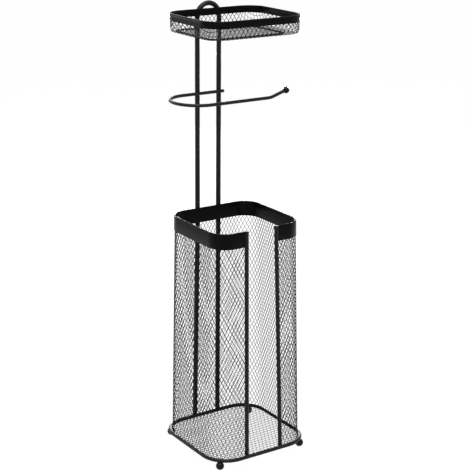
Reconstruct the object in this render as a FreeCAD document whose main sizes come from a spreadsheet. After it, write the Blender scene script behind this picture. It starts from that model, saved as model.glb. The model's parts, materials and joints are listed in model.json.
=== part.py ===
import FreeCAD
import Part
import math
import os
import Sketcher

# Free-standing toilet roll holder in black coated steel: a mesh basket with a front slot for
# spare rolls, a bent wire frame behind it, a roll arm and a mesh tray on top.
# Millimetres, +Z up, +X to the user's right, the slot faces -Y.
# The origin lies on the floor, under the middle of the base ring.

SIZES = {
    "ring_width": (155.5, "base ring from side to side, between wire centrelines"),
    "ring_depth": (151.0, "base ring from front to back, between wire centrelines"),
    "ring_corner": (37.0, "bend radius of the base ring at its centreline"),
    "ring_wire": (5.6, "wire diameter of the base ring"),
    "foot_ball": (11.4, "diameter of a ball foot"),
    "foot_flat": (0.4, "depth of the flat that a ball foot stands on"),
    "weld_sink": (0.5, "how far a weld draws two round wires into each other"),
    "weld_gap": (0.2, "room between an upright and the mesh that it passes"),
    "mesh_thick": (0.8, "thickness of the expanded steel mesh"),
    "net_width": (9.6, "width of one gap's cell in the floor net"),
    "net_length": (16.0, "length of one gap's cell in the floor net"),
    "net_strand": (1.6, "width of a strand in the floor net"),
    "wall_cell": (24.0, "width of one gap's cell in the basket wall"),
    "wall_cell_rise": (41.0, "height of one gap's cell in the basket wall"),
    "wall_strand": (3.0, "width of a strand between the gaps of the basket wall"),
    "pan_cell": (24.0, "width of one gap's cell in the tray floor"),
    "pan_cell_length": (34.0, "length of one gap's cell in the tray floor"),
    "pan_strand": (3.0, "width of a strand between the gaps of the tray floor"),
    "side_gap": (9.0, "width of a gap in the tray's wall"),
    "side_pitch": (13.0, "distance between the gaps in the tray's wall"),
    "basket_height": (319.0, "base ring centreline to the top of the basket rim"),
    "rim_width": (136.5, "outside width of the basket rim"),
    "rim_depth": (130.0, "outside depth of the basket rim"),
    "rim_corner": (25.0, "outside corner radius of the basket rim"),
    "rim_shift": (3.8, "how far the rim's middle lies behind the ring's middle"),
    "band_height": (21.5, "height of the folded band on the basket rim"),
    "band_skin": (0.7, "thickness of the folded strip in both bands"),
    "band_roof": (1.4, "depth of the fold above the mesh edge in both bands"),
    "fold_gap": (0.1, "room on each side of the mesh inside a folded band"),
    "post_wire": (5.6, "diameter of a slot post"),
    "slot_top": (41.7, "clear width of the slot at the rim"),
    "slot_base": (50.2, "clear width of the slot at the base ring"),
    "upright_wire": (6.8, "wire diameter of the back frame"),
    "upright_pitch": (34.4, "distance between the uprights above the basket"),
    "upright_spread": (39.0, "distance between the uprights at the base ring"),
    "upright_bend": (12.0, "distance from the bend of an upright up to the rim band"),
    "handle_rise": (6.1, "tray rim up to the crown of the handle's centreline"),
    "tray_level": (594.5, "base ring centreline to the top of the tray rim"),
    "tray_width": (149.2, "outside width of the tray rim"),
    "tray_depth": (122.4, "outside depth of the tray rim"),
    "tray_corner": (27.6, "outside corner radius of the tray rim"),
    "tray_drop": (22.4, "top of the tray rim down to the underside of the tray floor"),
    "tray_edge": (4.0, "outside radius between the tray's wall and floor"),
    "tray_band": (9.6, "height of the folded band on the tray rim"),
    "support_wire": (3.6, "wire diameter of the loop under the tray"),
    "support_inset": (17.6, "tray rim's side to the centreline of the loop under the tray"),
    "support_setback": (25.5, "tray rim's front to the centreline of the loop under the tray"),
    "support_corner": (10.0, "bend radius of the loop under the tray"),
    "arm_wire": (4.5, "wire diameter of the roll arm"),
    "arm_level": (480.1, "base ring centreline to the roll arm's centreline"),
    "arm_reach": (73.2, "back leg to front run of the roll arm"),
    "arm_left": (79.2, "middle of the holder to the outside of the arm's U-bend centreline"),
    "arm_stub": (4.5, "end of the arm's back leg past the middle of the right upright"),
    "arm_run": (49.5, "middle of the holder to the start of the arm's upturned tip"),
    "tip_angle": (17.5, "slope of the upturned tip, in degrees"),
    "tip_length": (26.2, "length of the upturned tip up to the ball's centre"),
    "tip_bend": (28.0, "bend radius before the upturned tip"),
    "tip_ball": (9.4, "diameter of the ball on the arm's tip"),
}

# How close two lengths count as equal.
LEVEL_MATCH = 1e-4
SHORTEST_RUN = 1e-6

doc = FreeCAD.newDocument("roll_holder")
sheet = doc.addObject("Spreadsheet::Sheet", "sizes")
for row, (alias, (size, meaning)) in enumerate(SIZES.items(), start=1):
    sheet.set(f"A{row}", meaning)
    sheet.set(f"B{row}", str(size))
    sheet.setAlias(f"B{row}", alias)
doc.recompute()


def number(formula):
    """The value of a formula over the sheet's sizes."""
    return float(sheet.evalExpression(formula))


def vector(x, y, z):
    """A point in the holder's frame."""
    return FreeCAD.Vector(x, y, z)


# Levels above the floor, as formulas over the sheet.
RING = "(sizes.foot_ball - sizes.foot_flat - sizes.weld_sink + sizes.ring_wire / 2)"
FLOOR_TOP = f"({RING} + sizes.mesh_thick / 2)"
RIM = f"({RING} + sizes.basket_height)"
BAND_FOOT = f"({RIM} - sizes.band_height)"
MESH_TOP = f"({RIM} - sizes.band_roof)"
TRAY_RIM = f"({RING} + sizes.tray_level)"
TRAY_FOOT = f"({TRAY_RIM} - sizes.tray_drop)"
TRAY_BAND_FOOT = f"({TRAY_RIM} - sizes.tray_band)"
TRAY_MESH_TOP = f"({TRAY_RIM} - sizes.band_roof)"

# The outer face of the basket mesh: flush inside the base ring below, inside the band at the rim.
FOLD = "(sizes.band_skin + sizes.fold_gap)"
BASE_FACE = {
    "half_x": "(sizes.ring_width - sizes.ring_wire) / 2",
    "half_y": "(sizes.ring_depth - sizes.ring_wire) / 2",
    "corner": "(sizes.ring_corner - sizes.ring_wire / 2)",
    "centre_y": "0",
}
RIM_FACE = {
    "half_x": f"(sizes.rim_width / 2 - {FOLD})",
    "half_y": f"(sizes.rim_depth / 2 - {FOLD})",
    "corner": f"(sizes.rim_corner - {FOLD})",
    "centre_y": "sizes.rim_shift",
}


def basket_outline(level, inset):
    """Rounded rectangle of the leaning basket mesh at a level, drawn in by an inset."""
    share = f"(({level} - {RING}) / sizes.basket_height)"
    outline = {"level": level}
    for key in BASE_FACE:
        drawn = "0" if key == "centre_y" else inset
        low = BASE_FACE[key]
        outline[key] = f"({low} + ({RIM_FACE[key]} - {low}) * {share} - ({drawn}))"
    return outline


# The uprights stand against the back of both bands.
BACK_FACE = "(sizes.rim_shift + sizes.rim_depth / 2)"
UPRIGHT_Y = f"({BACK_FACE} + sizes.upright_wire / 2)"
TRAY_Y = f"({BACK_FACE} - sizes.tray_depth / 2)"


def tray_outline(level, inset):
    """Rounded rectangle of the tray rim's outside at a level, drawn in by an inset."""
    return {
        "level": level,
        "half_x": f"(sizes.tray_width / 2 - ({inset}))",
        "half_y": f"(sizes.tray_depth / 2 - ({inset}))",
        "corner": f"(sizes.tray_corner - ({inset}))",
        "centre_y": TRAY_Y,
    }


def origin_plane(body, role):
    """One of a body's own origin planes."""
    return next(item for item in body.Origin.OriginFeatures if item.Role == role)


def new_body(label):
    """An empty body that carries a sub-part's name."""
    body = doc.addObject("PartDesign::Body", label)
    body.Label = label
    return body


def rounded_sketch(body, name, outline):
    """A rounded rectangle, level with the floor, with every size bound to the sheet."""
    sketch = body.newObject("Sketcher::SketchObject", name)
    sketch.AttachmentSupport = [(origin_plane(body, "XY_Plane"), "")]
    sketch.MapMode = "FlatFace"
    sketch.setExpression("AttachmentOffset.Base.z", outline["level"])
    half_x = number(outline["half_x"])
    half_y = number(outline["half_y"])
    corner = number(outline["corner"])
    centre_y = number(outline["centre_y"])
    flat_x = half_x - corner
    flat_y = half_y - corner
    up = vector(0, 0, 1)
    sides = [
        (vector(half_x, centre_y - flat_y, 0), vector(half_x, centre_y + flat_y, 0)),
        (vector(flat_x, centre_y + half_y, 0), vector(-flat_x, centre_y + half_y, 0)),
        (vector(-half_x, centre_y + flat_y, 0), vector(-half_x, centre_y - flat_y, 0)),
        (vector(-flat_x, centre_y - half_y, 0), vector(flat_x, centre_y - half_y, 0)),
    ]
    corners = [(flat_x, flat_y), (-flat_x, flat_y), (-flat_x, -flat_y), (flat_x, -flat_y)]
    for turn, (side, (x, y)) in enumerate(zip(sides, corners)):
        start = turn * math.pi / 2
        circle = Part.Circle(vector(x, centre_y + y, 0), up, corner)
        sketch.addGeometry(Part.LineSegment(*side))
        sketch.addGeometry(Part.ArcOfCircle(circle, start, start + math.pi / 2))
    for turn in range(4):
        line = 2 * turn
        arc = line + 1
        sketch.addConstraint(Sketcher.Constraint("Tangent", line, 2, arc, 1))
        sketch.addConstraint(Sketcher.Constraint("Tangent", arc, 2, (line + 2) % 8, 1))
        sketch.addConstraint(Sketcher.Constraint("Horizontal" if turn % 2 else "Vertical", line))
    for arc in (3, 5, 7):
        sketch.addConstraint(Sketcher.Constraint("Equal", 1, arc))
    sized = {
        "corner": (Sketcher.Constraint("Radius", 1, corner), outline["corner"]),
        "right": (Sketcher.Constraint("DistanceX", -1, 1, 0, 1, half_x), outline["half_x"]),
        "left": (Sketcher.Constraint("DistanceX", 4, 1, -1, 1, half_x), outline["half_x"]),
        "back": (
            Sketcher.Constraint("DistanceY", -1, 1, 2, 1, half_y + centre_y),
            f"{outline['half_y']} + {outline['centre_y']}",
        ),
        "front": (
            Sketcher.Constraint("DistanceY", 6, 1, -1, 1, half_y - centre_y),
            f"{outline['half_y']} - {outline['centre_y']}",
        ),
    }
    for key, (constraint, formula) in sized.items():
        index = sketch.addConstraint(constraint)
        sketch.renameConstraint(index, key)
        sketch.setExpression(f"Constraints.{key}", formula)
    return sketch


def add_loft(body, name, kind, lower, upper):
    """A ruled loft between two rounded rectangles, added to or cut from a body."""
    profile = rounded_sketch(body, f"{name}_low", lower)
    section = rounded_sketch(body, f"{name}_high", upper)
    loft = body.newObject(kind, name)
    loft.Profile = profile
    loft.Sections = [section]
    loft.Ruled = True
    doc.recompute()
    return loft


def add_prism(body, name, kind, outline, length):
    """A rounded rectangle pulled up into a body, or pushed up through it as a pocket."""
    sketch = rounded_sketch(body, f"{name}_sketch", outline)
    prism = body.newObject(kind, name)
    prism.Profile = sketch
    prism.setExpression("Length", length)
    if kind == "PartDesign::Pocket":
        prism.Reversed = True
    doc.recompute()
    return prism


def edges_at(shape, level):
    """Names of a shape's edges that lie flat at a level."""
    names = []
    for index, edge in enumerate(shape.Edges, start=1):
        box = edge.BoundBox
        if max(abs(box.ZMin - level), abs(box.ZMax - level)) < LEVEL_MATCH:
            names.append(f"Edge{index}")
    return names


def add_fillet(body, name, feature, level, radius):
    """Round a feature's level edges; the radius is bound to the sheet."""
    fillet = body.newObject("PartDesign::Fillet", name)
    fillet.Base = (feature, edges_at(feature.Shape, number(level)))
    fillet.setExpression("Radius", radius)
    doc.recompute()
    return fillet


def bent_path(points, bend, closed=False):
    """Straight runs between points, joined by tangent arcs of one bend radius.

    A closed path starts and ends in the middle of its last side.
    """
    if closed:
        start = (points[-1] + points[0]) * 0.5
        points = [start] + points + [start]
    edges = []
    reached = points[0]
    for before, corner, after in zip(points, points[1:], points[2:]):
        inward = (before - corner).normalize()
        outward = (after - corner).normalize()
        half_turn = (math.pi - inward.getAngle(outward)) / 2
        setback = bend * math.tan(half_turn)
        arc_start = corner + inward * setback
        arc_end = corner + outward * setback
        middle_way = (inward + outward).normalize()
        depth = bend / math.cos(half_turn) - bend
        if (arc_start - reached).Length > SHORTEST_RUN:
            edges.append(Part.LineSegment(reached, arc_start).toShape())
        edges.append(Part.Arc(arc_start, corner + middle_way * depth, arc_end).toShape())
        reached = arc_end
    if (points[-1] - reached).Length > SHORTEST_RUN:
        edges.append(Part.LineSegment(reached, points[-1]).toShape())
    return Part.Wire(edges)


def round_wire(path, diameter):
    """A solid round wire along a path."""
    first = path.OrderedEdges[0]
    start = first.valueAt(first.FirstParameter)
    heading = first.tangentAt(first.FirstParameter)
    section = Part.Wire(Part.makeCircle(diameter / 2, start, heading))
    return path.makePipeShell([section], True, False)


def add_solid(label, shape):
    """A sub-part whose shape is worked out from the sheet's sizes."""
    feature = doc.addObject("Part::Feature", label)
    feature.Label = label
    feature.Shape = shape
    feature.Placement = FreeCAD.Placement()
    return feature


def rounded_points(half_x, front, back, level):
    """Corner points of a level rectangle, counter-clockwise from the front right."""
    return [
        vector(half_x, front, level),
        vector(half_x, back, level),
        vector(-half_x, back, level),
        vector(-half_x, front, level),
    ]


# Base ring: one wire bent into a rounded square.
ring_level = number(RING)
ring_half_x = number("sizes.ring_width / 2")
ring_half_y = number("sizes.ring_depth / 2")
ring_corners = rounded_points(ring_half_x, -ring_half_y, ring_half_y, ring_level)
ring_path = bent_path(ring_corners, number("sizes.ring_corner"), closed=True)
base_ring = add_solid("base_ring", round_wire(ring_path, number("sizes.ring_wire")))


# Ball feet: under the middle of each corner bend, notched where the ring is welded in.
foot_offset = "(1 - sqrt(0.5)) * sizes.ring_corner"
FOOT_X = f"(sizes.ring_width / 2 - {foot_offset})"
FOOT_Y = f"(sizes.ring_depth / 2 - {foot_offset})"
for side, sign_x in (("left", "-"), ("right", "")):
    for end, sign_y in (("front", "-"), ("back", "")):
        ball = doc.addObject("Part::Sphere", f"ball_{end}_{side}")
        ball.setExpression("Radius", "sizes.foot_ball / 2")
        ball.setExpression("Angle1", "-asin(1 - 2 * sizes.foot_flat / sizes.foot_ball)")
        ball.setExpression("Placement.Base.x", f"{sign_x}{FOOT_X}")
        ball.setExpression("Placement.Base.y", f"{sign_y}{FOOT_Y}")
        ball.setExpression("Placement.Base.z", "sizes.foot_ball / 2 - sizes.foot_flat")
        foot = doc.addObject("Part::Cut", f"foot_{end}_{side}")
        foot.Label = f"foot_{end}_{side}"
        foot.Base = ball
        foot.Tool = base_ring


def diamond_gaps(outline, width, length, strand):
    """Level diamond holes on a staggered grid, kept whole and inside a rounded rectangle."""
    half_x, half_y, corner, level = outline
    half_gap_x = width / 2 - strand / 2 / math.sin(math.atan2(length, width))
    half_gap_y = half_gap_x * length / width
    columns = int(half_x / width) + 1
    rows = int(half_y / (length / 2)) + 1
    gaps = []
    for row in range(-rows, rows + 1):
        for column in range(-columns, columns + 1):
            x = (column + (row % 2) / 2) * width
            y = row * length / 2
            over_x = max(abs(x) + half_gap_x - (half_x - corner), 0)
            over_y = max(abs(y) + half_gap_y - (half_y - corner), 0)
            if math.hypot(over_x, over_y) > corner - strand:
                continue
            tips = [(half_gap_x, 0), (0, half_gap_y), (-half_gap_x, 0), (0, -half_gap_y)]
            ring = [vector(x + dx, y + dy, level) for dx, dy in tips]
            gaps.append(Part.makePolygon(ring + ring[:1]))
    return gaps


# Base floor: a flat net that lies inside the ring, level with its centreline.
mesh_thick = number("sizes.mesh_thick")
floor_foot = number(f"{FLOOR_TOP} - sizes.mesh_thick")
floor_half_x = number(BASE_FACE["half_x"])
floor_half_y = number(BASE_FACE["half_y"])
floor_corner = number(BASE_FACE["corner"])
floor_corners = rounded_points(floor_half_x, -floor_half_y, floor_half_y, floor_foot)
floor_edge = bent_path(floor_corners, floor_corner, closed=True)
floor_gaps = diamond_gaps(
    (floor_half_x, floor_half_y, floor_corner, floor_foot),
    number("sizes.net_width"),
    number("sizes.net_length"),
    number("sizes.net_strand"),
)
print("gaps in the floor net:", len(floor_gaps))
floor_face = Part.makeFace([floor_edge] + floor_gaps, "Part::FaceMakerBullseye")
add_solid("base_floor_mesh", floor_face.extrude(vector(0, 0, mesh_thick)))


# Slot posts: straight wires along both edges of the slot, from the floor net to the rim.
def slot_edge(level):
    """Distance from the middle of the slot to a post's far flank, at a level."""
    share = f"(({level} - {RING}) / sizes.basket_height)"
    opening = f"(sizes.slot_base + (sizes.slot_top - sizes.slot_base) * {share})"
    return f"({opening} / 2 + sizes.post_wire)"


def front_middle(level):
    """Y of the middle of the front mesh at a level."""
    outline = basket_outline(level, "sizes.mesh_thick / 2")
    return f"({outline['centre_y']} - {outline['half_y']})"


post_radius = number("sizes.post_wire / 2")
ring_edge = number("(sizes.ring_depth + sizes.ring_wire) / 2")
below_floor = Part.makeBox(
    2 * ring_half_x, 2 * ring_edge, number(FLOOR_TOP), vector(-ring_half_x, -ring_edge, 0)
)
for side, sign in (("left", -1), ("right", 1)):
    ends = []
    for level in (FLOOR_TOP, RIM):
        axis_x = sign * (number(slot_edge(level)) - post_radius)
        ends.append(vector(axis_x, number(front_middle(level)), number(level)))
    post_path = Part.Wire(Part.LineSegment(*ends).toShape())
    post = round_wire(post_path, 2 * post_radius).cut(below_floor).cut(base_ring.Shape)
    add_solid(f"slot_post_{side}", post)


def cut_slot(body, name, foot, top):
    """Cut the leaning slot through the front of a body, between the posts' far flanks."""
    sketch = body.newObject("Sketcher::SketchObject", f"{name}_sketch")
    sketch.AttachmentSupport = [(origin_plane(body, "XZ_Plane"), "")]
    sketch.MapMode = "FlatFace"
    low = number(foot)
    high = number(top)
    half_low = number(slot_edge(foot))
    half_high = number(slot_edge(top))
    ring = [
        vector(-half_low, low, 0),
        vector(half_low, low, 0),
        vector(half_high, high, 0),
        vector(-half_high, high, 0),
    ]
    for start, end in zip(ring, ring[1:] + ring[:1]):
        sketch.addGeometry(Part.LineSegment(start, end))
    for line in range(4):
        sketch.addConstraint(Sketcher.Constraint("Coincident", line, 2, (line + 1) % 4, 1))
    sketch.addConstraint(Sketcher.Constraint("Horizontal", 0))
    sketch.addConstraint(Sketcher.Constraint("Horizontal", 2))
    sized = {
        "low": (Sketcher.Constraint("DistanceY", -1, 1, 0, 1, low), foot),
        "high": (Sketcher.Constraint("DistanceY", -1, 1, 2, 1, high), top),
        "low_left": (Sketcher.Constraint("DistanceX", 0, 1, -1, 1, half_low), slot_edge(foot)),
        "low_right": (Sketcher.Constraint("DistanceX", -1, 1, 0, 2, half_low), slot_edge(foot)),
        "high_right": (Sketcher.Constraint("DistanceX", -1, 1, 2, 1, half_high), slot_edge(top)),
        "high_left": (Sketcher.Constraint("DistanceX", 2, 2, -1, 1, half_high), slot_edge(top)),
    }
    for key, (constraint, formula) in sized.items():
        index = sketch.addConstraint(constraint)
        sketch.renameConstraint(index, key)
        sketch.setExpression(f"Constraints.{key}", formula)
    doc.recompute()
    whole = body.Shape.Volume
    pocket = body.newObject("PartDesign::Pocket", name)
    pocket.Profile = sketch
    pocket.Reversed = True
    pocket.setExpression("Length", "sizes.ring_depth")
    doc.recompute()
    if body.Shape.Volume >= whole:
        raise ValueError(f"{name} cuts nothing")


# Basket wall: one leaning sheet of mesh with the slot at the front.
wall = new_body("wall_sheet")
for name, kind, inset in (
    ("wall_outside", "PartDesign::AdditiveLoft", "0"),
    ("wall_inside", "PartDesign::SubtractiveLoft", "sizes.mesh_thick"),
):
    add_loft(wall, name, kind, basket_outline(FLOOR_TOP, inset), basket_outline(MESH_TOP, inset))
cut_slot(wall, "wall_slot", FLOOR_TOP, RIM)


def add_openwork(label, sheet_body, gaps):
    """A sheet with gaps cut through it."""
    tool = add_solid(f"{label}_gaps", Part.makeCompound(gaps))
    openwork = doc.addObject("Part::Cut", label)
    openwork.Label = label
    openwork.Base = sheet_body
    openwork.Tool = tool
    doc.recompute()
    return openwork


# The gaps of the wall go through its flat faces, from front to back and from side to side.
band_foot = number(BAND_FOOT)
floor_top = number(FLOOR_TOP)
wall_strand = number("sizes.wall_strand")
rise = (band_foot - floor_top) / 2 - wall_strand
wall_middle = (band_foot + floor_top) / 2
wall_cells = (number("sizes.wall_cell"), number("sizes.wall_cell_rise"), wall_strand)
wall_gaps = []
for flat, through, turn in (
    (number("sizes.rim_width / 2 - sizes.rim_corner / 2"), 2 * ring_half_y, 0),
    (number("sizes.rim_depth / 2 - sizes.rim_corner / 2"), 2 * ring_half_x, 90),
):
    for gap in diamond_gaps((flat, rise, wall_strand, -through), *wall_cells):
        prism = Part.Face(gap).extrude(vector(0, 0, 2 * through))
        prism.rotate(vector(0, 0, 0), vector(1, 0, 0), 90)
        prism.translate(vector(0, 0, wall_middle))
        prism.rotate(vector(0, 0, 0), vector(0, 0, 1), turn)
        wall_gaps.append(prism)
print("gaps through the basket wall:", len(wall_gaps))
add_openwork("basket_wall_mesh", wall, wall_gaps)


# Basket rim band: a strip folded over the mesh's top edge, with a rounded crown.
band = new_body("basket_rim_band")
CHANNEL_IN = "(sizes.mesh_thick + sizes.fold_gap)"
BAND_IN = f"({CHANNEL_IN} + sizes.band_skin)"
for name, kind, inset, top in (
    ("band_outside", "PartDesign::AdditiveLoft", f"-{FOLD}", RIM),
    ("band_channel", "PartDesign::SubtractiveLoft", "-sizes.fold_gap", MESH_TOP),
    ("band_core", "PartDesign::AdditiveLoft", CHANNEL_IN, MESH_TOP),
    ("band_inside", "PartDesign::SubtractiveLoft", BAND_IN, RIM),
):
    folded = add_loft(band, name, kind, basket_outline(BAND_FOOT, inset), basket_outline(top, inset))
CROWN = f"0.45 * ({BAND_IN} + {FOLD})"
add_fillet(band, "band_crown", folded, RIM, CROWN)
cut_slot(band, "band_slot", BAND_FOOT, RIM)


# Back frame: one wire, with its two feet on the base ring and its crown as the carrying handle.
upright_y = number(UPRIGHT_Y)
upright_x = number("sizes.upright_pitch / 2")
foot_x = number("sizes.upright_spread / 2")
foot_y = number(f"{BASE_FACE['half_y']} + sizes.weld_gap + sizes.upright_wire / 2")
foot_level = number(f"{RING} + sizes.ring_wire / 4")
bend_level = number(f"{BAND_FOOT} - sizes.upright_bend")
crown_level = number(f"{TRAY_RIM} + sizes.handle_rise")
leg_right = [
    vector(foot_x, foot_y, foot_level),
    vector(upright_x, upright_y, bend_level),
    vector(upright_x, upright_y, crown_level),
]
leg_left = [vector(-point.x, point.y, point.z) for point in reversed(leg_right)]
crown_path = bent_path(leg_right[1:] + leg_left[:2], upright_x)
frame_edges = [
    Part.LineSegment(leg_right[0], leg_right[1]).toShape(),
    *crown_path.OrderedEdges,
    Part.LineSegment(leg_left[1], leg_left[2]).toShape(),
]
frame_wire = round_wire(Part.Wire(frame_edges), number("sizes.upright_wire"))
back_frame = add_solid("back_frame", frame_wire.cut(base_ring.Shape))


# Roll arm: a wire welded across both uprights, bent round in a U, with an upturned tip.
arm_wire = number("sizes.arm_wire")
arm_level = number(f"{RING} + sizes.arm_level")
arm_back = number(f"{BACK_FACE} - sizes.arm_wire / 2 + sizes.weld_sink")
arm_front = arm_back - number("sizes.arm_reach")
arm_left = -number("sizes.arm_left")
arm_run = number("sizes.arm_run")
tip_slope = math.radians(number("sizes.tip_angle"))
tip_length = number("sizes.tip_length")
tip_centre = vector(
    arm_run + tip_length * math.cos(tip_slope),
    arm_front,
    arm_level + tip_length * math.sin(tip_slope),
)
u_points = [
    vector(upright_x + number("sizes.arm_stub"), arm_back, arm_level),
    vector(arm_left, arm_back, arm_level),
    vector(arm_left, arm_front, arm_level),
    vector(0, arm_front, arm_level),
]
u_path = bent_path(u_points, (arm_back - arm_front) / 2)
tip_points = [vector(0, arm_front, arm_level), vector(arm_run, arm_front, arm_level), tip_centre]
tip_path = bent_path(tip_points, number("sizes.tip_bend"))
arm_path = Part.Wire(u_path.OrderedEdges + tip_path.OrderedEdges)
roll_arm = add_solid("roll_arm", round_wire(arm_path, arm_wire).cut(back_frame.Shape))


# Tip ball: bored to take the end of the arm.
tip_sphere = doc.addObject("Part::Sphere", "tip_sphere")
tip_sphere.setExpression("Radius", "sizes.tip_ball / 2")
tip_sphere.Placement.Base = tip_centre
tip_ball = doc.addObject("Part::Cut", "arm_tip_ball")
tip_ball.Label = "arm_tip_ball"
tip_ball.Base = tip_sphere
tip_ball.Tool = roll_arm


# Tray support: a wire loop under the tray floor, welded across the fronts of the uprights.
support_wire = number("sizes.support_wire")
support_level = number(f"{TRAY_FOOT} - sizes.support_wire / 2")
support_back = number(f"{BACK_FACE} - sizes.support_wire / 2 + sizes.weld_sink")
support_front = number(f"{TRAY_Y} - sizes.tray_depth / 2 + sizes.support_setback")
support_half_x = number("sizes.tray_width / 2 - sizes.support_inset")
support_corners = rounded_points(support_half_x, support_front, support_back, support_level)
support_path = bent_path(support_corners, number("sizes.support_corner"), closed=True)
support_loop = round_wire(support_path, support_wire)
add_solid("tray_support_ring", support_loop.cut(back_frame.Shape))


# Tray pan: pressed mesh with upright walls and a rounded edge round its floor.
pan = new_body("pan_sheet")
pan_height = f"{TRAY_MESH_TOP} - {TRAY_FOOT}"
add_prism(pan, "pan_outside", "PartDesign::Pad", tray_outline(TRAY_FOOT, FOLD), pan_height)
PAN_FLOOR = f"({TRAY_FOOT} + sizes.mesh_thick)"
PAN_IN = f"({FOLD} + sizes.mesh_thick)"
hollow = add_prism(pan, "pan_inside", "PartDesign::Pocket", tray_outline(PAN_FLOOR, PAN_IN), pan_height)
rounded = add_fillet(pan, "pan_inner_edge", hollow, PAN_FLOOR, "sizes.tray_edge - sizes.mesh_thick")
add_fillet(pan, "pan_edge", rounded, TRAY_FOOT, "sizes.tray_edge")

# The gaps of the pan: diamonds in its floor and a row of lozenges in its wall, below the rim band.
pan_foot = number(TRAY_FOOT)
tray_y = number(TRAY_Y)
floor_inset = f"({FOLD} + sizes.tray_edge)"
pan_floor = tray_outline(TRAY_FOOT, floor_inset)
pan_half_x = number(pan_floor["half_x"])
pan_half_y = number(pan_floor["half_y"])
pan_cells = (number("sizes.pan_cell"), number("sizes.pan_cell_length"), number("sizes.pan_strand"))
pan_gaps = []
for gap in diamond_gaps((pan_half_x, pan_half_y, number(pan_floor["corner"]), -mesh_thick), *pan_cells):
    prism = Part.Face(gap).extrude(vector(0, 0, 3 * mesh_thick))
    prism.translate(vector(0, tray_y, pan_foot))
    pan_gaps.append(prism)
side_low = number(f"{TRAY_FOOT} + sizes.tray_edge")
side_high = number(f"{TRAY_BAND_FOOT} - sizes.mesh_thick")
side_gap = number("sizes.side_gap")
side_pitch = number("sizes.side_pitch")
for flat, through, turn in (
    (pan_half_x - number("sizes.tray_corner / 2"), 2 * number("sizes.tray_depth"), 0),
    (pan_half_y - number("sizes.tray_corner / 2"), 2 * number("sizes.tray_width"), 90),
):
    steps = int((flat - side_gap / 2) / side_pitch)
    for step in range(-steps, steps + 1):
        x = step * side_pitch
        middle = (side_low + side_high) / 2
        tips = [
            vector(x + side_gap / 2, -through / 2, middle),
            vector(x, -through / 2, side_high),
            vector(x - side_gap / 2, -through / 2, middle),
            vector(x, -through / 2, side_low),
        ]
        prism = Part.Face(Part.makePolygon(tips + tips[:1])).extrude(vector(0, through, 0))
        prism.rotate(vector(0, 0, 0), vector(0, 0, 1), turn)
        prism.translate(vector(0, tray_y, 0))
        pan_gaps.append(prism)
print("gaps in the tray pan:", len(pan_gaps))
add_openwork("tray_mesh_pan", pan, pan_gaps)


# Tray rim band: a strip folded over the pan's top edge, with a rounded crown.
tray_band = new_body("tray_rim_band")
TRAY_CHANNEL_IN = f"({PAN_IN} + sizes.fold_gap)"
TRAY_BAND_IN = f"({TRAY_CHANNEL_IN} + sizes.band_skin)"
CHANNEL_DEPTH = "(sizes.tray_band - sizes.band_roof)"
for name, kind, inset, length in (
    ("tray_band_outside", "PartDesign::Pad", "0", "sizes.tray_band"),
    ("tray_band_channel", "PartDesign::Pocket", "sizes.band_skin", CHANNEL_DEPTH),
    ("tray_band_core", "PartDesign::Pad", TRAY_CHANNEL_IN, CHANNEL_DEPTH),
    ("tray_band_inside", "PartDesign::Pocket", TRAY_BAND_IN, "sizes.tray_band"),
):
    tray_fold = add_prism(tray_band, name, kind, tray_outline(TRAY_BAND_FOOT, inset), length)
add_fillet(tray_band, "tray_band_crown", tray_fold, TRAY_RIM, f"0.45 * {TRAY_BAND_IN}")

doc.recompute()

NODES = [
    "base_ring",
    "foot_front_left",
    "foot_front_right",
    "foot_back_left",
    "foot_back_right",
    "base_floor_mesh",
    "basket_wall_mesh",
    "basket_rim_band",
    "slot_post_left",
    "slot_post_right",
    "back_frame",
    "roll_arm",
    "arm_tip_ball",
    "tray_support_ring",
    "tray_mesh_pan",
    "tray_rim_band",
]

for item in doc.Objects:
    if "Invalid" in item.State or "Error" in item.State:
        raise ValueError(f"{item.Label} failed: {item.State}")

os.makedirs("parts", exist_ok=True)
for node in NODES:
    shape = doc.getObjectsByLabel(node)[0].Shape
    if shape.isNull() or not shape.isValid() or len(shape.Solids) != 1:
        raise ValueError(f"{node} is not one valid solid")
    print(node, round(shape.Volume, 1), "mm3")
    shape.exportStep(f"parts/{node}.step")
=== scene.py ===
# %% [markdown]
# # A free-standing toilet roll stand
#
# The stand is made of coated steel: a tapered basket of expanded mesh for spare rolls, a hairpin
# of wire behind it, an open arm for the roll in use and a shallow mesh tray on top.
# The solids come from the CAD model, and the balls and most wires are shown as they are. The mesh
# and the folded rims are made here, because their look depends on thousands of small gaps and on
# thin rounded edges. The loop under the tray is made here too, of thinner wire than its solid.

import json
import math

import bpy
import numpy as np
from mathutils import Matrix, Vector


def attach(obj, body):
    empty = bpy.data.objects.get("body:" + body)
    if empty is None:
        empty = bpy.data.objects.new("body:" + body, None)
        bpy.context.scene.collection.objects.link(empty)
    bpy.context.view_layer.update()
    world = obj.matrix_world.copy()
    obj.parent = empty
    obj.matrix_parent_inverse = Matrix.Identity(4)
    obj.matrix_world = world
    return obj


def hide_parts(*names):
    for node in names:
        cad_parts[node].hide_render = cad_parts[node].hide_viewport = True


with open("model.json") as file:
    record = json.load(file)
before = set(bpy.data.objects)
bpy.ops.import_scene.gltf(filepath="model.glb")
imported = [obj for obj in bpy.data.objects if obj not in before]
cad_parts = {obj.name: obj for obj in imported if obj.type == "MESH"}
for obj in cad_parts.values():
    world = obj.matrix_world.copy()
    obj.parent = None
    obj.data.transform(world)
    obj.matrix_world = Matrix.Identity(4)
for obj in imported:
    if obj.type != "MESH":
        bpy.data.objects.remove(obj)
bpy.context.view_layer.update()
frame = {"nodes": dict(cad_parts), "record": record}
print("CAD nodes:", ", ".join(sorted(frame["nodes"])))

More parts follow.
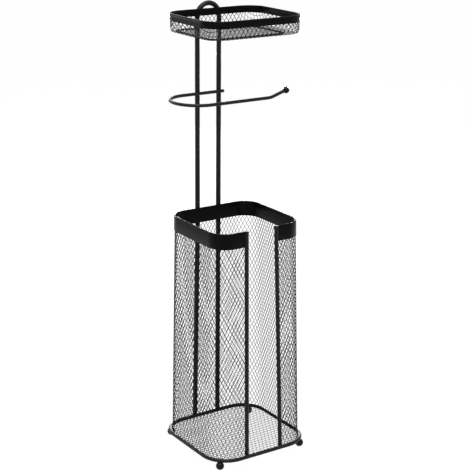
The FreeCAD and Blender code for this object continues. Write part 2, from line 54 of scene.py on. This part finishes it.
# %% [markdown]
# ## Sizes
#
# All sizes are in millimetres. They repeat those of the CAD model, so that each visual piece lies
# where its solid lies. Only the depth of the tray and the wire of the loop under it follow the
# photograph instead. Blender works in metres, so every mesh is scaled once, when it is made.

# %% Sizes of the stand
MM = 0.001

# Base ring and basket
RING_LEVEL = 13.3
RING_WIDTH = 155.5
RING_DEPTH = 151.0
RING_CORNER = 37.0
RING_WIRE = 5.6
MESH_THICK = 0.8
BASKET_HEIGHT = 319.0
RIM_WIDTH = 136.5
RIM_DEPTH = 130.0
RIM_CORNER = 25.0
RIM_SHIFT = 3.8
POST_WIRE = 5.6
SLOT_TOP = 41.7
SLOT_BASE = 50.2

# Folded strips, where the fold is the strip's thickness and its room beside the mesh
BAND_HEIGHT = 21.5
BAND_SKIN = 0.7
BAND_ROOF = 1.4
FOLD = 0.8

# Tray and the loop under it
TRAY_LEVEL = 594.5
TRAY_WIDTH = 149.2
TRAY_DEPTH = 122.4
TRAY_CORNER = 27.6
TRAY_DROP = 25.0
TRAY_EDGE = 4.0
TRAY_BAND = 9.6
SUPPORT_WIRE = 2.4
SUPPORT_INSET = 17.6
SUPPORT_SETBACK = 25.5
SUPPORT_CORNER = 10.0
WELD_SINK = 0.5

# Levels and places that follow from these
FLOOR_TOP = RING_LEVEL + MESH_THICK / 2
RIM_TOP = RING_LEVEL + BASKET_HEIGHT
MESH_TOP = RIM_TOP - BAND_ROOF
TRAY_TOP = RING_LEVEL + TRAY_LEVEL
TRAY_FOOT = TRAY_TOP - TRAY_DROP
BACK_FACE = RIM_SHIFT + RIM_DEPTH / 2
TRAY_Y = BACK_FACE - TRAY_DEPTH / 2
print("rim top", RIM_TOP, "mm, tray top", TRAY_TOP, "mm")

# %% [markdown]
# ## Walking round a rounded rectangle
#
# The basket, its rim and the tray all follow rounded rectangles. One function turns a distance
# along such an outline into a point and an outward direction. It works on whole arrays, and the
# size of the rectangle may differ from point to point, which gives the basket its lean.


# %% Outlines
def around(length, half_x, half_y, corner):
    """Point and outward direction at a distance round a rounded rectangle.

    The walk starts at the front middle and goes to the left. The point is that of a smaller, sharp
    rectangle plus the corner radius times the outward direction, which turns only in the corners.
    """
    flat_x = half_x - corner
    flat_y = half_y - corner
    bend = corner * math.pi / 2
    runs = [flat_x, bend, 2 * flat_y, bend, 2 * flat_x, bend, 2 * flat_y, bend, flat_x]
    starts = np.cumsum([np.zeros_like(length)] + runs[:-1], axis=0)
    gone = [np.clip(length - start, 0, run) for start, run in zip(starts, runs)]
    turn = (gone[1] + gone[3] + gone[5] + gone[7]) / corner
    out_x = -np.sin(turn)
    out_y = -np.cos(turn)
    x = -gone[0] + gone[4] - gone[8] + corner * out_x
    y = -flat_y + gone[2] - gone[6] + corner * out_y
    return x, y, out_x, out_y


def girth(half_x, half_y, corner):
    """Distance once round a rounded rectangle: its straight sides plus one full circle."""
    return 4 * (half_x + half_y - 2 * corner) + 2 * math.pi * corner


def basket_outline(level):
    """Half width, half depth, corner radius and middle of the mesh's outer face at a level.

    Each changes in a straight line from the base ring up to the rim.
    """
    share = (level - RING_LEVEL) / BASKET_HEIGHT
    low = np.array([RING_WIDTH / 2, RING_DEPTH / 2, RING_CORNER, 0.0])
    low[:3] -= RING_WIRE / 2
    high = np.array([RIM_WIDTH / 2 - FOLD, RIM_DEPTH / 2 - FOLD, RIM_CORNER - FOLD, RIM_SHIFT])
    return [a + (b - a) * share for a, b in zip(low, high)]


def slot_reach(level):
    """Distance from the slot's middle to a post's centreline at a level."""
    share = (level - RING_LEVEL) / BASKET_HEIGHT
    return (SLOT_BASE + (SLOT_TOP - SLOT_BASE) * share + POST_WIRE) / 2


def basket_point(along, level, out):
    """A point on the basket: a share of the way from post to post, a level and an offset."""
    half_x, half_y, corner, middle = basket_outline(level)
    reach = slot_reach(level)
    length = reach + along * (girth(half_x, half_y, corner) - 2 * reach)
    x, y, out_x, out_y = around(length, half_x, half_y, corner)
    return np.stack([x + out * out_x, middle + y + out * out_y, level + 0 * x], axis=-1)


def loop_point(along, level, out, loop):
    """A point on a level loop: a share of the way round, a level and an offset outwards.

    The loop is given by its half width, half depth, corner radius and middle.
    """
    half_x, half_y, corner, middle = [value + 0 * along for value in loop]
    x, y, out_x, out_y = around(along * girth(half_x, half_y, corner), half_x, half_y, corner)
    return np.stack([x + out * out_x, middle + y + out * out_y, level + 0 * x], axis=-1)


# %% [markdown]
# ## Finishes
#
# All of it has a black powder coat. Powder melts in an oven to a skin that is satin rather than
# glossy, with a very fine orange-peel relief. Balls are dipped, so theirs is a little glossier.
# The relief and the small changes in gloss come from noise in object coordinates, sized in
# millimetres.

# %% Materials
PATCH_MM = 30
RELIEF_MM = 0.03


def linear(code):
    """Linear colour of an sRGB hex code: small values are divided, the rest follow a power."""
    values = np.array([int(code[i : i + 2], 16) for i in (1, 3, 5)]) / 255
    curved = ((values + 0.055) / 1.055) ** 2.4
    return (*np.where(values <= 0.04045, values / 12.92, curved).tolist(), 1.0)


def add_node(tree, kind, **settings):
    """A new node with its sockets set by name, underscores standing for spaces."""
    node = tree.nodes.new(kind)
    for name, value in settings.items():
        node.inputs[name.replace("_", " ")].default_value = value
    return node


def powder_coat(name, code, shine, gloss, grain_mm):
    """Satin coat: fine noise lifts the surface and slower noise varies the roughness.

    shine scales the reflection, and gloss holds the lowest and the highest roughness.
    """
    material = bpy.data.materials.new(name)
    material.use_nodes = True
    tree = material.node_tree
    tree.nodes.clear()
    output = tree.nodes.new("ShaderNodeOutputMaterial")
    shader = add_node(
        tree, "ShaderNodeBsdfPrincipled", Base_Color=linear(code), Specular_IOR_Level=shine
    )
    place = tree.nodes.new("ShaderNodeTexCoord")
    grain = add_node(tree, "ShaderNodeTexNoise", Scale=1 / (grain_mm * MM), Detail=2.0)
    patches = add_node(tree, "ShaderNodeTexNoise", Scale=1 / (PATCH_MM * MM), Detail=1.0)
    low, high = gloss
    spread = add_node(
        tree, "ShaderNodeMapRange", From_Min=0.3, From_Max=0.7, To_Min=low, To_Max=high
    )
    bump = add_node(tree, "ShaderNodeBump", Strength=0.5, Distance=RELIEF_MM * MM)
    links = tree.links
    links.new(place.outputs["Object"], grain.inputs["Vector"])
    links.new(place.outputs["Object"], patches.inputs["Vector"])
    links.new(patches.outputs["Fac"], spread.inputs["Value"])
    links.new(spread.outputs["Result"], shader.inputs["Roughness"])
    links.new(grain.outputs["Fac"], bump.inputs["Height"])
    links.new(bump.outputs["Normal"], shader.inputs["Normal"])
    links.new(shader.outputs["BSDF"], output.inputs["Surface"])
    return material


coats = {
    "wire_coat": powder_coat(
        "satin_black_powder_coat_on_wire", "#0e0e0e", shine=0.2, gloss=(0.34, 0.44), grain_mm=0.9
    ),
    "mesh_coat": powder_coat(
        "satin_black_powder_coat_on_mesh", "#0a0a0a", shine=0.08, gloss=(0.4, 0.5), grain_mm=0.9
    ),
    "band_coat": powder_coat(
        "satin_black_powder_coat_on_strip", "#080808", shine=0.06, gloss=(0.28, 0.36), grain_mm=0.9
    ),
    "ball_coat": powder_coat(
        "semi_gloss_black_coat_on_balls", "#0a0a0a", shine=0.14, gloss=(0.16, 0.22), grain_mm=1.4
    ),
}
for part in frame["record"]["subparts"]:
    mesh = frame["nodes"][part["node"]].data
    mesh.materials.clear()
    mesh.materials.append(coats[part["material_slot"]])
print("finishes:", ", ".join(coats))

# %% [markdown]
# ## From arrays to a piece
#
# Each visual piece is made from an array of points and an array of four-sided faces. Faces that
# were squeezed to nothing at an edge are dropped first, and so are points that no face uses.

# %% Pieces from arrays
SMALLEST_FACE = 1e-4


def face_areas(points, faces):
    """Area of each four-sided face: half the length of the cross product of its diagonals."""
    corners = points[faces]
    across = np.cross(corners[:, 2] - corners[:, 0], corners[:, 3] - corners[:, 1])
    return np.linalg.norm(across, axis=-1) / 2


def add_piece(name, points, faces, slot, smooth, replaces):
    """A mesh that rides with the stand, from points in millimetres and four-sided faces."""
    faces = faces[face_areas(points, faces) > SMALLEST_FACE]
    used, renumbered = np.unique(faces, return_inverse=True)
    points = points[used] * MM
    faces = renumbered.reshape(faces.shape)
    mesh = bpy.data.meshes.new(name)
    mesh.from_pydata(points.tolist(), [], faces.tolist())
    mesh.polygons.foreach_set("use_smooth", np.full(len(faces), smooth))
    mesh.validate()
    mesh.update()
    mesh.materials.append(coats[slot])
    piece = bpy.data.objects.new(name, mesh)
    bpy.context.scene.collection.objects.link(piece)
    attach(piece, "root")
    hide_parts(*replaces)
    print(name, len(points), "points,", len(faces), "faces")


# %% [markdown]
# ## Expanded mesh
#
# A mill slits a thin sheet and pulls it open, so that each slit becomes a diamond. The strands turn
# on edge as the sheet opens: from the front they look thin, and at a slant they look deep. Where
# two strands part they leave a short knuckle.
# One cell is the ring between a whole diamond and the smaller diamond of its gap. Cells stand in
# staggered rows, and a placing function bends the flat pattern into the shape of a piece.

# %% The diamond pattern
CELL_WIDTH = 5.9
CELL_HEIGHT = 10.6
STRAND = 0.42
KNUCKLE = 1.3
STRAND_DEPTH = 0.5


def diamond_cells(columns, rows):
    """Corner places of staggered cells in units of one cell: four outer and four inner per cell.

    Cells at an edge are cut off there, by holding their corners to the edge.
    """
    even = np.meshgrid(np.arange(-1, columns) + 0.5, np.arange(-1, rows + 1), indexing="ij")
    odd = np.meshgrid(np.arange(-1, columns) + 1.0, np.arange(-1, rows) + 0.5, indexing="ij")
    middles = np.concatenate([np.stack(grid, axis=-1).reshape(-1, 2) for grid in (even, odd)])
    slant = math.hypot(CELL_WIDTH, CELL_HEIGHT)
    gap_width = 0.5 - STRAND * slant / CELL_HEIGHT / CELL_WIDTH / 2
    gap_height = 0.5 - KNUCKLE / CELL_HEIGHT / 2
    tips = np.array([[1, 0], [0, 1], [-1, 0], [0, -1]])
    ring = np.concatenate([tips * 0.5, tips * np.array([gap_width, gap_height])])
    cells = middles[:, None, :] + ring[None, :, :]
    return np.clip(cells, 0, np.array([columns, rows]))


def net_mesh(cells, place):
    """Points and faces of a net: both faces of each ring and the walls of its gap.

    place turns two arrays of cell units and an offset outwards into points. Of a cell's 16 points,
    0 to 3 are the diamond and 4 to 7 its gap on the outer face, and 8 to 15 lie behind them.
    """
    count = len(cells)
    u = cells[..., 0]
    v = cells[..., 1]
    outer = place(u, v, STRAND_DEPTH / 2)
    inner = place(u, v, -STRAND_DEPTH / 2)
    points = np.concatenate([outer, inner], axis=1)
    front = np.array([[k, (k + 1) % 4, 4 + (k + 1) % 4, 4 + k] for k in range(4)])
    walls = np.array([[4 + k, 4 + (k + 1) % 4, 12 + (k + 1) % 4, 12 + k] for k in range(4)])
    ring = np.concatenate([front, front[:, ::-1] + 8, walls])
    sample = points[:, [0, 1, 2, 8]]
    facing = np.cross(sample[:, 1] - sample[:, 0], sample[:, 2] - sample[:, 0])
    outward = np.sum(facing * (sample[:, 0] - sample[:, 3]), axis=-1).sum()
    if outward < 0:
        ring = ring[:, ::-1]
    faces = ring[None, :, :] + 16 * np.arange(count)[:, None, None]
    return points.reshape(-1, 3), faces.reshape(-1, 4)


# %% [markdown]
# ### Basket wall
#
# One strip of mesh goes from post to post round the basket. Its cells are a little wider at the
# foot, as the basket is.

# %% Basket wall
WALL_COLUMNS = 80
WALL_ROWS = 30


def wall_place(u, v, out):
    """Wall point: columns share the way from post to post, rows share the height."""
    level = FLOOR_TOP + (MESH_TOP - FLOOR_TOP) * v / WALL_ROWS
    return basket_point(u / WALL_COLUMNS, level, out - MESH_THICK / 2)


wall_points, wall_faces = net_mesh(diamond_cells(WALL_COLUMNS, WALL_ROWS), wall_place)
add_piece("basket_wall_net", wall_points, wall_faces, "mesh_coat", False, ["basket_wall_mesh"])

# %% [markdown]
# ### Basket floor
#
# The floor is a flat piece of the same mesh, trimmed to the inside of the base ring. Its cells are
# long from front to back. Corners that would lie outside are pulled in to the ring's edge.

# %% Basket floor
NEAR_ZERO = 1e-9
FLOOR_X = (RING_WIDTH - RING_WIRE) / 2
FLOOR_Y = (RING_DEPTH - RING_WIRE) / 2
FLOOR_CORNER = RING_CORNER - RING_WIRE / 2
FLOOR_COLUMNS = math.ceil(2 * FLOOR_X / CELL_WIDTH)
FLOOR_ROWS = math.ceil(2 * FLOOR_Y / CELL_HEIGHT)


def pull_in(x, y, half_x, half_y, corner):
    """Move points outside a rounded rectangle to the nearest point of its edge."""
    core_x = np.clip(x, corner - half_x, half_x - corner)
    core_y = np.clip(y, corner - half_y, half_y - corner)
    away = np.hypot(x - core_x, y - core_y)
    share = np.where(away > corner, corner / np.maximum(away, NEAR_ZERO), 1.0)
    return core_x + (x - core_x) * share, core_y + (y - core_y) * share


def floor_place(u, v, out):
    """Floor point: cells are laid out from the middle and pulled in at the edge."""
    flat_x = (u - FLOOR_COLUMNS / 2) * CELL_WIDTH
    flat_y = (v - FLOOR_ROWS / 2) * CELL_HEIGHT
    x, y = pull_in(flat_x, flat_y, FLOOR_X, FLOOR_Y, FLOOR_CORNER)
    return np.stack([x, y, RING_LEVEL + out + 0 * x], axis=-1)


floor_points, floor_faces = net_mesh(diamond_cells(FLOOR_COLUMNS, FLOOR_ROWS), floor_place)
add_piece("base_floor_net", floor_points, floor_faces, "mesh_coat", False, ["base_floor_mesh"])

# %% [markdown]
# ### Tray pan
#
# The tray is pressed from one flat sheet, so its pattern runs on from the floor round the edge and
# up the walls: cells are long from front to back on the floor, upright in the front wall and lying
# in the side walls. The cells are laid out flat first. What lies beyond the floor keeps its nearest
# point of the floor's edge, and its distance beyond that becomes a climb up the wall.

# %% Tray pan
EDGE_MIDDLE = TRAY_EDGE - MESH_THICK / 2
EDGE_LENGTH = EDGE_MIDDLE * math.pi / 2
CLIMB = EDGE_LENGTH + TRAY_TOP - BAND_ROOF - TRAY_FOOT - TRAY_EDGE
PAN_INSET = TRAY_EDGE + FOLD
PAN_X = TRAY_WIDTH / 2 - PAN_INSET
PAN_Y = TRAY_DEPTH / 2 - PAN_INSET
PAN_CORNER = TRAY_CORNER - PAN_INSET
PAN_CELL_WIDTH = 6.6
PAN_CELL_LENGTH = 9.8
PAN_COLUMNS = math.ceil(2 * (PAN_X + CLIMB) / PAN_CELL_WIDTH)
PAN_ROWS = math.ceil(2 * (PAN_Y + CLIMB) / PAN_CELL_LENGTH)


def pan_place(u, v, out):
    """Pan point: level on the floor, then up the quarter circle of the edge, then straight up."""
    flat_x = (u - PAN_COLUMNS / 2) * PAN_CELL_WIDTH
    flat_y = (v - PAN_ROWS / 2) * PAN_CELL_LENGTH
    flat_x, flat_y = pull_in(flat_x, flat_y, PAN_X + CLIMB, PAN_Y + CLIMB, PAN_CORNER + CLIMB)
    edge_x, edge_y = pull_in(flat_x, flat_y, PAN_X, PAN_Y, PAN_CORNER)
    beyond = np.hypot(flat_x - edge_x, flat_y - edge_y)
    turn = np.clip(beyond / EDGE_MIDDLE, 0, math.pi / 2)
    radius = EDGE_MIDDLE + out
    away = radius * np.sin(turn) / np.maximum(beyond, NEAR_ZERO)
    x = edge_x + (flat_x - edge_x) * away
    y = edge_y + (flat_y - edge_y) * away
    level = TRAY_FOOT + TRAY_EDGE - radius * np.cos(turn) + np.maximum(beyond - EDGE_LENGTH, 0)
    return np.stack([x, TRAY_Y + y, level], axis=-1)


pan_points, pan_faces = net_mesh(diamond_cells(PAN_COLUMNS, PAN_ROWS), pan_place)
add_piece("tray_pan_net", pan_points, pan_faces, "mesh_coat", False, ["tray_mesh_pan"])

# %% [markdown]
# ## Folded rims
#
# The raw edge of the mesh is sharp, so a steel strip is folded over it and pressed flat. The fold
# leaves a rounded crown, which catches the light as a thin line. The strip's section is drawn once
# and swept along the outline.

# %% Sweeping a section
BAND_WIDTH = 2 * FOLD + MESH_THICK
FOOT_EASE = 0.2
CROWN_STEPS = 13


def strip_section(height):
    """Offsets and heights round the section of a folded strip, from the outer foot over the crown.

    The crown is a half circle as wide as the strip, and the channel takes the mesh.
    """
    crown = BAND_WIDTH / 2
    turn = np.linspace(0, math.pi, CROWN_STEPS)
    over = np.stack([crown * np.cos(turn) - crown, crown * np.sin(turn) - crown], axis=-1)
    far = BAND_SKIN - BAND_WIDTH
    outer = [(0.0, -height + FOOT_EASE)]
    inner = [(-BAND_WIDTH, -height + FOOT_EASE), (FOOT_EASE - BAND_WIDTH, -height), (far, -height)]
    channel = [(far, -BAND_ROOF), (-BAND_SKIN, -BAND_ROOF), (-BAND_SKIN, -height)]
    foot = [(-FOOT_EASE, -height)]
    return np.concatenate([outer, over, inner, channel, foot])


def sweep(section, stations, place, closed):
    """Points and faces of a section swept along shares of an outline."""
    rows = len(section)
    along = np.repeat(stations, rows)
    offset = np.tile(section[:, 0], len(stations))
    rise = np.tile(section[:, 1], len(stations))
    points = place(along, rise, offset)
    count = len(stations) if closed else len(stations) - 1
    i, j = np.meshgrid(np.arange(count), np.arange(rows), indexing="ij")
    here = i * rows
    after = ((i + 1) % len(stations)) * rows
    beside = (j + 1) % rows
    faces = np.stack([here + j, after + j, after + beside, here + beside], axis=-1)
    return points, faces.reshape(-1, 4)


# %% Rim strips
BAND_STATIONS = np.linspace(0.0, 1.0, 301)
LOOP_COUNT = 320
LOOP_STATIONS = np.arange(LOOP_COUNT) / LOOP_COUNT
TRAY_LOOP = (TRAY_WIDTH / 2, TRAY_DEPTH / 2, TRAY_CORNER, TRAY_Y)


def band_place(along, rise, offset):
    """Point of the basket's strip, with heights from its top and offsets from its outer face."""
    return basket_point(along, RIM_TOP + rise, FOLD + offset)


def tray_band_place(along, rise, offset):
    """Point of the tray's strip, with heights from its top and offsets from its outer face."""
    return loop_point(along, TRAY_TOP + rise, offset, TRAY_LOOP)


band_points, band_faces = sweep(strip_section(BAND_HEIGHT), BAND_STATIONS, band_place, False)
add_piece("basket_rim_strip", band_points, band_faces, "band_coat", True, ["basket_rim_band"])

lip_points, lip_faces = sweep(strip_section(TRAY_BAND), LOOP_STATIONS, tray_band_place, True)
add_piece("tray_rim_strip", lip_points, lip_faces, "band_coat", True, ["tray_rim_band"])

# %% [markdown]
# ## Loop under the tray
#
# The loop that carries the tray is of thinner wire than the rest. It is drawn slimmer than its
# solid, as the photograph shows it, and touches the tray floor from below and the fronts of the
# uprights.

# %% Loop under the tray
WIRE_SIDES = 16
SUPPORT_LEVEL = TRAY_FOOT - SUPPORT_WIRE / 2
SUPPORT_BACK = BACK_FACE - SUPPORT_WIRE / 2 + WELD_SINK
SUPPORT_FRONT = BACK_FACE - TRAY_DEPTH + SUPPORT_SETBACK
SUPPORT_LOOP = (
    TRAY_WIDTH / 2 - SUPPORT_INSET,
    (SUPPORT_BACK - SUPPORT_FRONT) / 2,
    SUPPORT_CORNER,
    (SUPPORT_BACK + SUPPORT_FRONT) / 2,
)


def support_place(along, rise, offset):
    """Point of the loop's wire, with heights and offsets from its centreline."""
    return loop_point(along, SUPPORT_LEVEL + rise, offset, SUPPORT_LOOP)


turns = np.arange(WIRE_SIDES) * 2 * math.pi / WIRE_SIDES
wire_section = np.stack([np.cos(turns), -np.sin(turns)], axis=-1) * SUPPORT_WIRE / 2
loop_points, loop_faces = sweep(wire_section, LOOP_STATIONS, support_place, True)
add_piece("tray_support_wire", loop_points, loop_faces, "wire_coat", True, ["tray_support_ring"])

# %% [markdown]
# ## Floor and surround
#
# A grey floor and a white surround stand in for the studio. The floor's own glow is seen only by
# the camera and in reflections, so the floor can look white and still keep the stand's soft shadow.

# %% Floor and surround
STUDIO_HALF = 6.0
STUDIO_GLOW = 0.96
AMBIENT = 0.45
WHITE = (1, 1, 1, 1)


def backdrop_rays(tree):
    """A value that is one for rays that see the backdrop: straight, mirrored or through glass."""
    path = tree.nodes.new("ShaderNodeLightPath")
    seen = path.outputs["Is Camera Ray"]
    for kind in ("Is Glossy Ray", "Is Transmission Ray"):
        either = tree.nodes.new("ShaderNodeMath")
        either.operation = "MAXIMUM"
        tree.links.new(seen, either.inputs[0])
        tree.links.new(path.outputs[kind], either.inputs[1])
        seen = either.outputs["Value"]
    return seen


def floor_finish():
    """Matt grey paper that also glows for the rays that see the backdrop."""
    material = bpy.data.materials.new("matt_grey_studio_paper")
    material.use_nodes = True
    tree = material.node_tree
    tree.nodes.clear()
    output = tree.nodes.new("ShaderNodeOutputMaterial")
    matt = add_node(tree, "ShaderNodeBsdfDiffuse", Color=linear("#484848"))
    glow = tree.nodes.new("ShaderNodeEmission")
    dimmed = tree.nodes.new("ShaderNodeMath")
    dimmed.operation = "MULTIPLY"
    dimmed.inputs[1].default_value = STUDIO_GLOW
    both = tree.nodes.new("ShaderNodeAddShader")
    links = tree.links
    links.new(backdrop_rays(tree), dimmed.inputs[0])
    links.new(dimmed.outputs[0], glow.inputs["Strength"])
    links.new(matt.outputs["BSDF"], both.inputs[0])
    links.new(glow.outputs["Emission"], both.inputs[1])
    links.new(both.outputs["Shader"], output.inputs["Surface"])
    return material


def studio_floor():
    """A large level square under the stand."""
    mesh = bpy.data.meshes.new("studio_floor")
    corners = [(-1, -1), (1, -1), (1, 1), (-1, 1)]
    points = [(x * STUDIO_HALF, y * STUDIO_HALF, 0) for x, y in corners]
    mesh.from_pydata(points, [], [(0, 1, 2, 3)])
    mesh.materials.append(floor_finish())
    floor = bpy.data.objects.new("studio_floor", mesh)
    bpy.context.scene.collection.objects.link(floor)


def white_surround():
    """A world that is white to the rays that see the backdrop and a softer grey as light."""
    world = bpy.data.worlds.new("white_surround")
    bpy.context.scene.world = world
    world.use_nodes = True
    tree = world.node_tree
    tree.nodes.clear()
    output = tree.nodes.new("ShaderNodeOutputWorld")
    ambient = add_node(tree, "ShaderNodeBackground", Color=WHITE, Strength=AMBIENT)
    white = add_node(tree, "ShaderNodeBackground", Color=WHITE, Strength=1.0)
    mix = tree.nodes.new("ShaderNodeMixShader")
    links = tree.links
    links.new(backdrop_rays(tree), mix.inputs["Fac"])
    links.new(ambient.outputs["Background"], mix.inputs[1])
    links.new(white.outputs["Background"], mix.inputs[2])
    links.new(mix.outputs["Shader"], output.inputs["Surface"])


studio_floor()
white_surround()
print("studio floor", 2 * STUDIO_HALF, "m wide, surround at", AMBIENT, "of white as light")

# %% [markdown]
# ## Lamps
#
# Five soft lamps light the stand: the key lamp from the left, one from above, one high behind it
# and two low behind it, one on either side. The camera does not see them.


# %% Lamps
def softbox(name, place, aim, size, power):
    """A rectangular area lamp that points from one place to another, in metres and watts."""
    lamp = bpy.data.lights.new(name, "AREA")
    lamp.shape = "RECTANGLE"
    lamp.size, lamp.size_y = size
    lamp.energy = power
    holder = bpy.data.objects.new(name, lamp)
    holder.location = place
    holder.rotation_euler = (Vector(aim) - Vector(place)).to_track_quat("-Z", "Y").to_euler()
    holder.visible_camera = False
    bpy.context.scene.collection.objects.link(holder)
    print(name, power, "W")


softbox("key_softbox", place=(-1.5, -0.4, 1.9), aim=(0, 0, 0.35), size=(1.1, 1.1), power=14)
softbox("top_softbox", place=(-0.2, -0.6, 2.4), aim=(0, 0, 0.3), size=(1.2, 1.2), power=40)
softbox("back_softbox", place=(0.5, 1.7, 1.4), aim=(0, 0, 0.35), size=(0.9, 0.9), power=12)
softbox("low_softbox", place=(1.15, 1.73, 0.32), aim=(0, 0, 0.3), size=(1.4, 0.24), power=60)
softbox("left_softbox", place=(-1.15, 1.75, 0.4), aim=(0, 0, 0.6), size=(0.6, 0.4), power=3)

# %% [markdown]
# ## Camera
#
# The camera stands in front on the left and looks slightly down. Its place and focal length come
# from a fit of the stand's edges to the photograph. Its aim is a point near the stand's axis, given
# by a level and a step to the right.

# %% Camera
AZIMUTH = math.radians(-33.659)
PITCH = math.radians(17.228)
ROLL = math.radians(0.43)
AIM_LEVEL = 307.37
AIM_STEP = -1.75
DISTANCE = 1802.34
FOCAL_PIXELS = 1321.37
PHOTO_PIXELS = 470
SENSOR_WIDTH = 36.0

level_share = math.cos(PITCH)
back = Vector((math.sin(AZIMUTH) * level_share, -math.cos(AZIMUTH) * level_share, math.sin(PITCH)))
right = Vector((math.cos(AZIMUTH), math.sin(AZIMUTH), 0))
up = back.cross(right)
position = Vector((0, 0, AIM_LEVEL)) + right * AIM_STEP + back * DISTANCE
turned_right = right * math.cos(ROLL) + up * math.sin(ROLL)
turned_up = up * math.cos(ROLL) - right * math.sin(ROLL)
camera_data = bpy.data.cameras.new("photo_camera")
camera_data.sensor_width = SENSOR_WIDTH
camera_data.lens = FOCAL_PIXELS * SENSOR_WIDTH / PHOTO_PIXELS
camera = bpy.data.objects.new("photo_camera", camera_data)
axes = Matrix((turned_right, turned_up, back)).transposed().to_4x4()
axes.translation = position * MM
camera.matrix_world = axes
bpy.context.scene.collection.objects.link(camera)
bpy.context.scene.camera = camera
bpy.context.scene.view_settings.view_transform = "Standard"
print("camera at", [round(value, 3) for value in camera.location])
